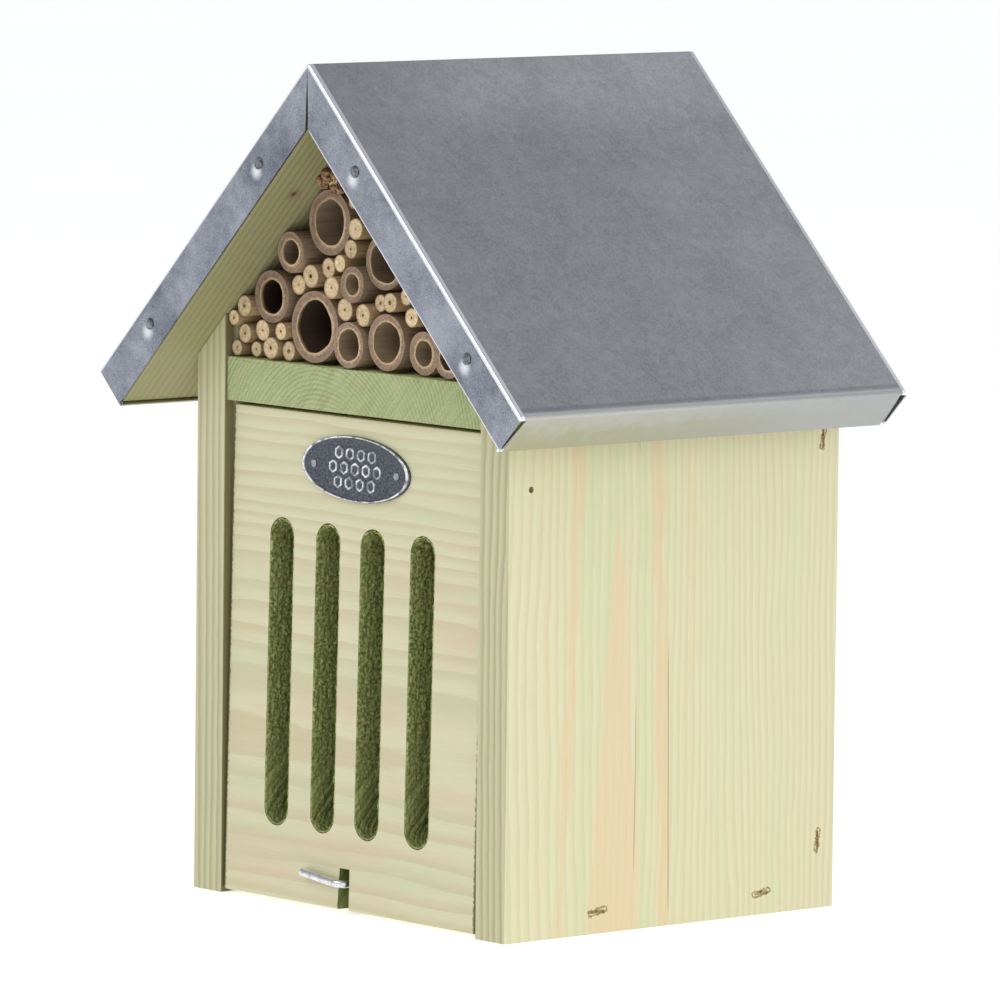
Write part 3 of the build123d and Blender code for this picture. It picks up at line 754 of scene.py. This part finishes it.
def cane_tree(name, material):
    """A tube wrapped from a grid. Its stations in order: back end, skin, cut face, bore wall, bore floor."""
    sizes = ("Radius", "Bore", "Depth", "Length", "Oval", "Turn", "Slant", "Ragged", "Tint", "Inside", "Seed")
    g, _, size = new_tree(name, sizes)
    radius, bore, depth, length, oval, turn, slant, ragged, tint, inside, seed = size.values()
    grid, angle, station = unrolled(g, cane_sides, stations=5, steps=cane_steps)
    across = (station - 2.0).bounded()
    cosine, sine = g.math("COSINE", angle), g.math("SINE", angle)
    circle = g.joined(cosine, sine, seed)
    lumps = g.noise(circle, 1.1, 1.0) - 0.5
    bits = g.noise(circle, 7.0, 3.0, 0.7) - 0.5
    inner = g.noise(g.vector("ADD", circle, (4.0, 2.0, 7.0)), 1.3, 2.0) - 0.5
    skin = radius * (1 + g.math("COSINE", angle * 2 + turn) * oval + lumps * 0.05)
    chamfer = station.bell(2.0, 0.26) * 0.25 * MM
    hollow = bore * (1 + inner * 0.22 + bits * ragged * 0.12)
    wall = (skin - hollow) * across
    reach = skin * station.bounded() - wall - hollow * (station - 4.0).bounded() - chamfer
    back = length * (1 - (station - 1.0).bounded()) + depth * (station - 3.0).bounded()
    torn = g.noise(g.joined(cosine * reach / MM, sine * reach / MM, seed), 0.9, 3.0, 0.7) - 0.5
    slanted = g.math("SINE", angle + turn) * slant * reach
    cut = (slanted + torn * ragged * 1.6 * MM + 0.5 * MM) * station.bell(2.5, 1.0)
    bulge = station.bell(5.0, 1.0) * bore * 0.12
    wrapped = g.joined(cosine * reach, back + cut - bulge, sine * reach)
    shape = grid
    for key, value in (("station", station), ("tint", tint), ("inside", inside)):
        shape = stored(g, shape, key, value)
    shape = g.node("GeometryNodeSetPosition", {0: shape, "Position": wrapped})
    shape = g.node("GeometryNodeMergeByDistance", {0: shape, "Distance": 0.004 * MM})
    return finish_tree(g, shape, material)


cane_sides = 40
cane_steps = 6
reed_limit = 5.0 * MM  # canes of a larger radius than this are bamboo

# How much more ragged a cane's end is, and how light its bore's painted shade is, where it isn't left to chance
broken = {"cane_18": 1.3}
bore_shade_tones = {
    "cane_09": 0.06,
    "cane_10": 0.62,
    "cane_11": 0.66,
    "cane_12": 0.75,
    "cane_16": 0.0,
    "cane_25": 0.72,
    "cane_29": 0.4,
    "cane_30": 0.42,
    "cane_32": 0.6,
}


# ----------------------------------------------------------------------
# Making pieces


def linked(name, data):
    """A new object in the scene from a mesh, a camera or a light."""
    made = bpy.data.objects.new(name, data)
    bpy.context.scene.collection.objects.link(made)
    return made


def edge_mesh(name, points, loops=((),), normals=None):
    """A mesh of points and edges only, for a tree to build on."""
    mesh = bpy.data.meshes.new(name)
    edges = [(a, b) for loop in loops for a, b in zip(loop, loop[1:])]
    mesh.from_pydata([tuple(p) for p in points], edges, [])
    if normals:
        aim = mesh.attributes.new("aim", "FLOAT_VECTOR", "POINT")
        aim.data.foreach_set("vector", [c for normal in normals for c in normal])
    return mesh


def grown(name, base, tree, values, sharp=35.0, move=None):
    """Runs a tree on a base mesh with its named values and returns the result as a plain mesh piece."""
    seedling = linked(name + "_base", base)
    modifier = seedling.modifiers.new("tree", "NODES")
    modifier.node_group = tree
    sockets = {s.name: s.identifier for s in tree.interface.items_tree if s.in_out == "INPUT"}
    for key, value in values.items():
        modifier[sockets[key]] = value
    graph = bpy.context.evaluated_depsgraph_get()
    mesh = bpy.data.meshes.new_from_object(seedling.evaluated_get(graph))
    bpy.data.objects.remove(seedling)
    mesh.name = name
    if move:
        mesh.transform(move)
    outward(mesh)
    mesh.shade_smooth()
    mesh.set_sharp_from_angle(angle=math.radians(sharp))
    return linked(name, mesh)


def outward(mesh):
    """Turns every face outwards."""
    work = bmesh.new()
    work.from_mesh(mesh)
    bmesh.ops.recalc_face_normals(work, faces=work.faces)
    work.to_mesh(mesh)
    work.free()


def placed(piece, body, slot, *replaced):
    """Gives a piece its body, and hides the CAD nodes that it stands for. The slot is not used."""
    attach(piece, body)
    if replaced:
        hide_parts(*replaced)


def merged(node):
    """The CAD node's shape as joined flat faces."""
    work = welded(node)
    bmesh.ops.dissolve_limit(work, angle_limit=math.radians(0.3), verts=work.verts, edges=work.edges)
    return work


def worked_board(node, finish, body, slot, worn=0.4 * MM, shortest=9.0 * MM):
    """A board with its long edges eased, in its own wood."""
    work = merged(node)
    crease = math.radians(30)
    long_edges = [
        edge
        for edge in work.edges
        if edge.is_manifold and edge.calc_length() > shortest and edge.calc_face_angle() > crease
    ]
    rounding = dict(offset=worn, segments=2, profile=0.6, affect="EDGES", clamp_overlap=False)
    bmesh.ops.bevel(work, geom=long_edges, **rounding)
    mesh = bpy.data.meshes.new(node + "_wood")
    work.to_mesh(mesh)
    work.free()
    mesh.materials.append(finish.material)
    mark_end_grain(mesh, finish.grain)
    placed(linked(node + "_wood", mesh), body, slot, node)


def mark_end_grain(mesh, grain):
    """Keeps on each face how squarely it cuts across the grain, and how squarely it faces front or back."""
    marks = {"end_grain": (grain, 2.5, 0.9), "sawn_edge": (north, 2.0, 0.5)}
    for name, (direction, gain, least) in marks.items():
        share = mesh.attributes.new(name, "FLOAT", "FACE")
        for face in mesh.polygons:
            share.data[face.index].value = min(1.0, max(0.0, abs(face.normal.dot(direction)) * gain - least))


# ----------------------------------------------------------------------
# The object


woods = make_woods()


def build_boards():
    slots = {
        "right_side_panel": "wood_side",
        "left_side_panel": "wood_side",
        "front_door": "wood_door",
        "left_roof_board": "wood_roof",
        "right_roof_board": "wood_roof",
        "back_panel": "wood_back",
        "floor_board": "wood_back",
    }
    for node, slot in slots.items():
        body = "door" if node == "front_door" else "house"
        worked_board(node, woods[node], body, slot)


def build_canes():
    bamboo, reed = make_cane_finishes()
    thick = cane_tree("cut_cane", bamboo.material)
    thin = cane_tree("cut_reed", reed.material)
    bores = {name[:7]: box for name, box in openings.items() if name.startswith("cane_")}
    rng = random.Random(7)
    for node in sorted(n for n in nodes if n.startswith("cane_")):
        low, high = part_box(node)
        radius = (high.x - low.x) / 2
        middle = (low + high) / 2
        is_thick = radius > reed_limit
        if node in bores:
            box = bores[node]
            # The opening's box is the square inside the bore, a little clear of its wall and floor
            bore = (box[1][0] - box[0][0] + 0.1 * MM) / 2 / math.sqrt(0.5)
            depth = box[1][1] - low.y + 0.5 * MM
        else:
            bore = radius * rng.uniform(0.05, 0.2)
            depth = rng.uniform(0.2, 1.0) * MM
        values = {
            "Radius": radius * 0.985,
            "Bore": bore,
            "Depth": depth,
            "Length": high.y - low.y,
            "Oval": rng.uniform(-0.03, 0.03),
            "Turn": rng.uniform(0, 2 * math.pi),
            "Slant": rng.uniform(0.0, 0.05),
            "Ragged": rng.uniform(0.3, 0.7) + broken.get(node, 0.0),
            "Tint": rng.uniform(0.1, 0.9),
            "Inside": bore_shade_tones.get(node, rng.uniform(0.1, 0.7)),
            "Seed": rng.uniform(0, 90),
        }
        base = edge_mesh(node, [(0, 0, 0)])
        move = Matrix.Translation((middle.x, low.y, middle.z))
        piece = grown(node + "_cut", base, thick if is_thick else thin, values, 50.0, move)
        placed(piece, "house", "bamboo_dark" if is_thick else "bamboo_light", node)


def build_metal():
    """Finishes for the metal that is shown as the CAD has it."""
    zinc = BrightWire("zinc_nails", tone(150, 152, 156), tone(226, 228, 232), 0.2)
    finishes = {
        "roof_sheet": RoofSheet("galvanised_roof", tone(150, 153, 157), tone(186, 189, 193), 0.36),
        "roof_board_nails": zinc,
        "door_pivot_nails": zinc,
        "hanger_screws": zinc,
        "name_plate_pins": BrightWire("zinc_pins", tone(110, 113, 120), tone(176, 179, 186), 0.2),
        "side_staples": BrightWire("staple_wire", tone(150, 124, 84), tone(206, 184, 138), 0.4),
        "hanger_plate": Galvanised("galvanised_hanger", tone(150, 154, 160), tone(206, 209, 214), 0.32),
    }
    for node, finish in finishes.items():
        nodes[node].data.materials[0] = finish.material


# ----------------------------------------------------------------------
# Trees for what repeats or follows a path


def nail_tree(material):
    """A round-headed nail on each point, its head's seat at the point and its head along the point's aim."""
    g, given, size = new_tree("round_headed_nail", ("Head", "Height", "Shank", "Length"))
    grid, angle, station = unrolled(g, sides=28, stations=5, steps=5)
    head, height, shank, length = size.values()
    out = station.bounded()
    dome = g.math("SQRT", 1 - out * out * 0.86)
    reach = head * out - (head - shank) * (station - 2.0).bounded() - shank * (station - 4.0).bounded()
    rise = height * dome * (1 - (station - 1.0).bounded()) - length * (station - 3.0).bounded() * 0.85
    rise = rise - length * 0.15 * (station - 4.0).bounded()
    wrapped = g.joined(g.math("COSINE", angle) * reach, g.math("SINE", angle) * reach, rise)
    nail = g.node("GeometryNodeSetPosition", {0: grid, "Position": wrapped})
    nail = g.node("GeometryNodeMergeByDistance", {0: nail, "Distance": 0.002 * MM})
    points = g.node("GeometryNodeMeshToPoints", {0: given})
    aim = g.node("GeometryNodeInputNamedAttribute", {"Name": "aim"}, data_type="FLOAT_VECTOR")
    turn = g.node("FunctionNodeAlignRotationToVector", {"Vector": aim}, axis="Z")
    nails = g.node("GeometryNodeInstanceOnPoints", {"Points": points, "Instance": nail, "Rotation": turn})
    return finish_tree(g, nails, material)


def wire_tree(material):
    """A bent wire along the base line, with rounded bends and a rounded far end."""
    g, given, size = new_tree("bent_wire", ("Radius", "Bend"))
    line = g.node("GeometryNodeMeshToCurve", {0: given})
    rounded = {"Curve": line, "Radius": size["Bend"], 1: 10}
    line = g.node("GeometryNodeFilletCurve", rounded, mode="POLY")
    line = g.node("GeometryNodeResampleCurve", {"Curve": line, "Count": 90})
    spline = g.node("GeometryNodeSplineParameter")
    total = g.node("GeometryNodeSplineLength")
    left = (total - spline.other("Length")) / size["Radius"]
    rounding = g.math("SQRT", (1 - (1 - (left + 0.08).bounded()) ** 2.0).bounded())
    ring = g.node("GeometryNodeCurvePrimitiveCircle", {"Resolution": 20, "Radius": size["Radius"]})
    line = g.node("GeometryNodeSetCurveRadius", {"Curve": line, "Radius": rounding})
    wire = g.node("GeometryNodeCurveToMesh", {0: line, "Profile Curve": ring, "Fill Caps": True})
    return finish_tree(g, wire, material)


def lining_tree(material):
    """Torn grain round a slot: a thin ring along the base loop, pushed about by noise."""
    g, given, size = new_tree("slot_lining", ("Depth", "Thickness", "Middle", "Low", "High", "Rough"))
    line = g.node("GeometryNodeMeshToCurve", {0: given})
    line = g.node("GeometryNodeResampleCurve", {"Curve": line, "Count": 420})
    section = {"Width": size["Depth"], "Height": size["Thickness"]}
    strip = g.node("GeometryNodeCurvePrimitiveQuadrilateral", section)
    strip = g.node("GeometryNodeResampleCurve", {"Curve": strip, "Count": 64})
    ring = g.node("GeometryNodeCurveToMesh", {0: line, "Profile Curve": strip})
    place = g.node("GeometryNodeInputPosition")
    x, y, height = g.parts(place)
    middle_z = g.math("MINIMUM", g.math("MAXIMUM", height, size["Low"]), size["High"])
    inward = g.vector("NORMALIZE", g.joined(size["Middle"] - x, 0.0, middle_z - height))
    grain = g.scaled(place, 1 / MM)
    depth_in, rise = y / MM, height / MM
    foot = 1 - ((height - size["Low"]) / MM).smooth(*slanted_foot)
    ribs = g.noise(g.joined(depth_in * 0.9, rise * 0.12, x / MM * 0.1), 1.0, 2.0, 0.6)
    slanted = g.noise(g.joined((rise * 0.9 - depth_in) * 0.7, rise * 0.04, 4.0), 1.0, 2.0, 0.5)
    torn = g.noise(grain, 0.85, 3.0, 0.75)
    nicks = g.noise(g.vector("ADD", grain, (9.0, 3.0, 5.0)), 0.5, 2.0).smooth(0.56, 0.72)
    streaks = (ribs - 0.45) * (1 - foot) + (slanted - 0.45) * foot
    push = (0.35 + streaks * 1.5 + (torn - 0.5) * 1.9 + nicks * 0.7) * size["Rough"]
    shape = g.node("GeometryNodeSetPosition", {0: ring, "Offset": g.scaled(inward, push)})
    return finish_tree(g, shape, material)


def splinter_tree(material):
    """An upright splinter on each point."""
    g, given, size = new_tree("torn_fibres", ("Length",))
    taper = {"Vertices": 5, "Radius Top": 0.03 * MM, "Radius Bottom": 0.3 * MM, "Depth": size["Length"]}
    fibre = g.node("GeometryNodeMeshCone", taper)
    points = g.node("GeometryNodeMeshToPoints", {0: given})
    fibres = g.node("GeometryNodeInstanceOnPoints", {"Points": points, "Instance": fibre})
    return finish_tree(g, fibres, material)


def crumb_tree(material):
    """Crumbled pith and bark: a rough lump on each point."""
    g, given, size = new_tree("crumbled_pith", ("Lump",))
    lump = g.node("GeometryNodeMeshIcoSphere", {"Radius": size["Lump"], "Subdivisions": 3})
    place = g.scaled(g.node("GeometryNodeInputPosition"), 1 / MM)
    push = (g.noise(place, 1.1, 3.0, 0.7) - 0.5) * size["Lump"] * 1.5
    normal = g.node("GeometryNodeInputNormal")
    lump = g.node("GeometryNodeSetPosition", {0: lump, "Offset": g.scaled(normal, push)})
    points = g.node("GeometryNodeMeshToPoints", {0: given})
    heap = g.node("GeometryNodeInstanceOnPoints", {"Points": points, "Instance": lump})
    return finish_tree(g, heap, material)


def rough_board_tree(material):
    """A sawn board: a finely divided block whose front end is torn and whose top front edge is chipped."""
    g, _, size = new_tree("rough_sawn_board", ("Width", "Depth", "Height", "Rough", "Chip"))
    extent = g.joined(size["Width"], size["Depth"], size["Height"])
    counts = {"Vertices X": 380, "Vertices Y": 10, "Vertices Z": 44}
    block = g.node("GeometryNodeMeshCube", {"Size": extent, **counts})
    place = g.node("GeometryNodeInputPosition")
    x, y, z = g.parts(place)
    grain = g.scaled(place, 1 / MM)
    front = 1 - (y + size["Depth"] / 2).smooth(0.0, 1.2 * MM)
    top = (z - size["Height"] / 2 + 1.6 * MM).smooth(0.0, 1.6 * MM)
    tilted = g.joined(x * 900 + z * 500, 0.0, z * 1100)
    sawn = g.noise(tilted, 0.55, 2.0) * 0.5 + g.noise(grain, 1.1, 3.0, 0.65) * 0.7
    chips = g.noise(grain, 0.42, 2.0).smooth(0.5, 0.72)
    back = (sawn * size["Rough"] + chips * top * size["Chip"]) * front
    drop = chips * top * front * size["Chip"] * -0.7
    shape = g.node("GeometryNodeSetPosition", {0: block, "Offset": g.joined(0.0, back, drop)})
    return finish_tree(g, shape, material)


def build_shelf():
    """The shelf, with its front end grain as sawn."""
    extent = shelf_high - shelf_low
    values = {"Width": extent.x, "Depth": extent.y, "Height": extent.z, "Rough": 0.35 * MM, "Chip": 0.7 * MM}
    move = Matrix.Translation((shelf_low + shelf_high) / 2)
    base = edge_mesh("shelf_seed", [(0, 0, 0)])
    wood = woods["shelf_board"]
    piece = grown("shelf_board_wood", base, rough_board_tree(wood.material), values, 30.0, move)
    mark_end_grain(piece.data, wood.grain)
    placed(piece, "house", "wood_shelf", "shelf_board")


def leaned():
    """Turns an upright door piece about the pivot nails to where the closed door stands."""
    return Matrix.Translation(hinge) @ Matrix.Rotation(-door_lean, 4, "X") @ Matrix.Translation(-hinge)


def round_ended(middle, low, high, radius, y, steps=14):
    """The points of a slot's outline, closed."""
    points = []
    for end, start in ((high, 0.0), (low, math.pi)):
        for step in range(steps + 1):
            angle = start + math.pi * step / steps
            points.append((middle + radius * math.cos(angle), y, end + radius * math.sin(angle)))
    return points


def build_slots():
    """Torn grain round each slot of the door."""
    tree = lining_tree(SlotGrain().material)
    face = panel_low.y + door_recess
    for number in range(1, 5):
        low, high = openings[f"door_slot_{number}"]
        middle = (low[0] + high[0]) / 2
        points = round_ended(middle, low[2], high[2], slot_radius, face + board / 2)
        loop = list(range(len(points))) + [0]
        base = edge_mesh("slot_seed", points, (loop,))
        values = {
            "Depth": board - 0.1 * MM,
            "Thickness": 0.5 * MM,
            "Middle": middle,
            "Low": low[2],
            "High": high[2],
            "Rough": 0.6 * MM,
        }
        piece = grown(f"door_slot_grain_{number}", base, tree, values, 60.0, leaned())
        placed(piece, "door", "wood_door")


def build_nails():
    """Round-headed nails where the frame has them."""
    zinc = BrightWire("zinc_heads", tone(70, 72, 78), tone(150, 152, 158), 0.2)
    tree = nail_tree(zinc.material)
    heads = nail_heads()
    seats = [head - Vector((0, math.copysign(0.8 * MM, head.y), 0)) for head in heads]
    aims = [(0, math.copysign(1, head.y), 0) for head in heads]
    base = edge_mesh("nail_seed", seats, normals=aims)
    values = {"Head": 1.9 * MM, "Height": 0.8 * MM, "Shank": 0.9 * MM, "Length": 13.5 * MM}
    placed(grown("roof_sheet_nail_heads", base, tree, values), "house", "nail_steel", "roof_sheet_nails")


def build_hook():
    """The turn hook's wire, from deep in the floor board out and across the door."""
    low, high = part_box("turn_hook")
    radius = 1.35 * MM
    arm_y = low.y + radius
    reach = low.x - hook_pivot.x
    rise = math.tan(hook_rise) * -reach
    points = [
        (hook_pivot.x, high.y, hook_pivot.z),
        (hook_pivot.x, arm_y, hook_pivot.z),
        (low.x, arm_y, hook_pivot.z + rise),
    ]
    zinc = BrightWire("zinc_hook", tone(196, 198, 203), tone(240, 241, 244), 0.2, relief=0.05)
    base = edge_mesh("hook_seed", points, ((0, 1, 2),))
    values = {"Radius": radius, "Bend": 3.0 * MM}
    piece = grown("turn_hook_wire", base, wire_tree(zinc.material), values)
    placed(piece, "hook", "hook_wire", "turn_hook")


def honeycomb_height(across, up_by):
    """How far the plate's relief stands up, from 0 to 1, at a place on the plate in millimetres."""
    cell, spacing = 2.55, 5.4
    row = spacing * math.sqrt(3) / 2
    short, long = (-1.5, -0.5, 0.5, 1.5), (-2, -1, 0, 1, 2)
    best = 0.0
    for level, steps in ((0, long), (row, short), (-row, short)):
        for step in steps:
            x, y = abs(across - step * spacing), abs(up_by - level)
            edge = cell * math.sqrt(3) / 2 - max(x, x / 2 + y * math.sqrt(3) / 2)
            wall = max(0.0, min(1.0, edge / 0.45))
            well = max(0.0, min(1.0, (edge - 0.75) / 0.45))
            best = max(best, wall - well * 0.75)
    return best


def build_plate():
    """The oval plate: a rolled rim and a pressed honeycomb."""
    low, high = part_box("name_plate")
    half_width, half_height = (high.x - low.x) / 2 - 0.02 * MM, (high.z - low.z) / 2 - 0.1 * MM
    thickness = 1.3 * MM
    rim_radius, edge_share = 0.6, 0.45
    rings, sides = 64, 240
    work = bmesh.new()
    raised = work.verts.layers.float.new("raised")
    rows = []
    for ring in range(1, rings + 1):
        share = ring / rings
        row = []
        for side in range(sides):
            angle = 2 * math.pi * side / sides
            across = half_width * share * math.cos(angle)
            upward = half_height * share * math.sin(angle)
            from_edge = (1 - share) * (half_width + half_height) / 2 / MM
            rim = max(0.0, 1 - ((from_edge - rim_radius) / rim_radius) ** 2) ** 0.5
            relief = max(rim, honeycomb_height(across / MM, upward / MM))
            ground = 0.62 + 0.08 * share**2
            height = (ground + (1 - ground) * relief) * thickness
            if ring == rings:
                height *= edge_share
            vert = work.verts.new((across, -height, upward))
            vert[raised] = relief
            row.append(vert)
        rows.append(row)
    middle = work.verts.new((0, -0.7 * thickness, 0))
    foot = [work.verts.new((v.co.x, 0, v.co.z)) for v in rows[-1]]
    for side in range(sides):
        after = (side + 1) % sides
        work.faces.new((middle, rows[0][side], rows[0][after]))
        for inner, outer in zip(rows, rows[1:]):
            work.faces.new((inner[side], outer[side], outer[after], inner[after]))
        work.faces.new((rows[-1][side], foot[side], foot[after], rows[-1][after]))
    work.faces.new(foot)
    bmesh.ops.recalc_face_normals(work, faces=work.faces)
    mesh = bpy.data.meshes.new("name_plate_relief")
    work.to_mesh(mesh)
    work.free()
    tilt = Matrix.Rotation(plate_tilt, 4, "Y")
    back = Vector(((low.x + high.x) / 2, panel_low.y + door_recess, (low.z + high.z) / 2))
    mesh.transform(leaned() @ Matrix.Translation(back) @ tilt)
    mesh.shade_smooth()
    mesh.set_sharp_from_angle(angle=math.radians(60))
    mesh.materials.append(PressedPlate().material)
    placed(linked("name_plate_relief", mesh), "door", "plate_metal", "name_plate")


def build_splinters():
    """A splinter torn up at each staple."""
    wood = Finish("torn_wood", Roughness=0.8)
    speck = wood.noise(wood.place, 1.3, 2.0)
    wood.feed("Base Color", wood.mix(speck.smooth(0.45, 0.6), tone(96, 68, 34), tone(222, 192, 134)))
    spots = []
    for low, high in islands("side_staples"):
        x = math.copysign(panel_high.x, high.x)
        spots.append((x, (low.y + high.y) / 2, (low.z + high.z) / 2))
    base = edge_mesh("splinter_seed", spots)
    piece = grown("staple_torn_fibres", base, splinter_tree(wood.material), {"Length": 1.7 * MM}, 20.0)
    placed(piece, "house", "wood_side")


def build_crumbs():
    """Crumbled bark on top of the bundle, under the ridge."""
    low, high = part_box("cane_35")
    rng = random.Random(3)
    dust = Finish("crumbled_bark", Roughness=0.9)
    speck = dust.noise(dust.place, 0.9, 3.0, 0.7)
    dust.feed("Base Color", dust.mix(speck.smooth(0.36, 0.62), tone(74, 48, 32), tone(176, 140, 104)))
    middle = (low + high) / 2
    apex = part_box("back_panel")[1].z
    points = []
    for _ in range(44):
        x = middle.x + rng.uniform(-5.0, 4.4) * MM
        y = low.y + rng.uniform(-1.0, 8.0) * MM
        z = middle.z + rng.uniform(-2.6, 3.6) * MM - abs(x - middle.x) * 0.3
        points.append((x, y, min(z, apex - abs(x) - 1.6 * MM)))
    base = edge_mesh("crumb_seed", points)
    piece = grown("crumbled_bark", base, crumb_tree(dust.material), {"Lump": 1.5 * MM}, 40.0)
    placed(piece, "house", "bamboo_dark")


# ----------------------------------------------------------------------
# Stage, camera and light

camera_spot = Vector((2.1583, -1.8619, 0.4187))
camera_azimuth = math.radians(49.21)
camera_elevation = math.radians(5.805)
camera_roll = math.radians(0.66)
camera_lens = 321.9


def build_camera():
    data = bpy.data.cameras.new("camera")
    data.sensor_width = 36.0
    data.lens = camera_lens
    data.clip_end = 100.0
    camera = linked("camera", data)
    turned = Matrix.Rotation(camera_azimuth, 4, "Z") @ Matrix.Rotation(math.pi / 2 - camera_elevation, 4, "X")
    rolled = turned @ Matrix.Rotation(camera_roll, 4, "Z")
    camera.matrix_world = Matrix.Translation(camera_spot) @ rolled
    bpy.context.scene.camera = camera


def softbox(name, spot, target, width, height, power):
    """A rectangular lamp, aimed at its target."""
    data = bpy.data.lights.new(name, "AREA")
    data.shape = "RECTANGLE"
    data.size, data.size_y = width, height
    data.energy = power
    light = linked(name, data)
    aim = (Vector(target) - Vector(spot)).to_track_quat("-Z", "Y")
    light.matrix_world = Matrix.Translation(spot) @ aim.to_matrix().to_4x4()


def build_stage():
    mesh = bpy.data.meshes.new("studio_floor")
    reach = 30.0
    corners = [(-reach, -reach, 0), (reach, -reach, 0), (reach, reach, 0), (-reach, reach, 0)]
    mesh.from_pydata(corners, [], [(0, 1, 2, 3)])
    paper = Finish("studio_paper", Roughness=0.9, Emission_Strength=0.62)
    grain = paper.noise(paper.coordinates, 3.0, 2.0)
    paper.feed("Base Color", paper.mix(grain, (0.7, 0.7, 0.7, 1), (0.72, 0.72, 0.72, 1)))
    paper.feed("Emission Color", paper.mix(grain, (0.98, 0.98, 0.98, 1), (1.0, 1.0, 1.0, 1)))
    mesh.materials.append(paper.material)
    floor = linked("studio_floor", mesh)
    floor.location.z = -0.05 * MM


def build_light():
    world = bpy.data.worlds.new("studio")
    bpy.context.scene.world = world
    world.use_nodes = True
    world.node_tree.nodes.clear()
    sky = Graph(world.node_tree)
    direction = sky.node("ShaderNodeTexCoord", output="Generated")
    height = sky.parts(direction)[2]
    colour = sky.mix(height.smooth(0.0, 0.75), (0.93, 0.93, 0.93, 1), (0.4, 0.41, 0.43, 1))
    light = sky.node("ShaderNodeBackground", {0: colour, 1: 1.0})
    sky.node("ShaderNodeOutputWorld", {0: light})
    middle = (0, 0, 0.14)
    softbox("right_box", (2.0, -0.2, 0.7), middle, 1.6, 1.6, 6.5)
    softbox("fold_box", (0.28, -1.1, 1.45), (0.03, -0.08, 0.22), 1.3, 0.9, 9.0)
    softbox("roof_box", (0.9, 1.3, 1.5), (0.08, 0.05, 0.22), 0.9, 0.7, 2.0)
    bpy.context.scene.view_settings.view_transform = "Standard"


build_boards()
build_shelf()
build_slots()
build_canes()
build_metal()
build_nails()
build_hook()
build_plate()
build_splinters()
build_crumbs()
build_camera()
build_stage()
build_light()
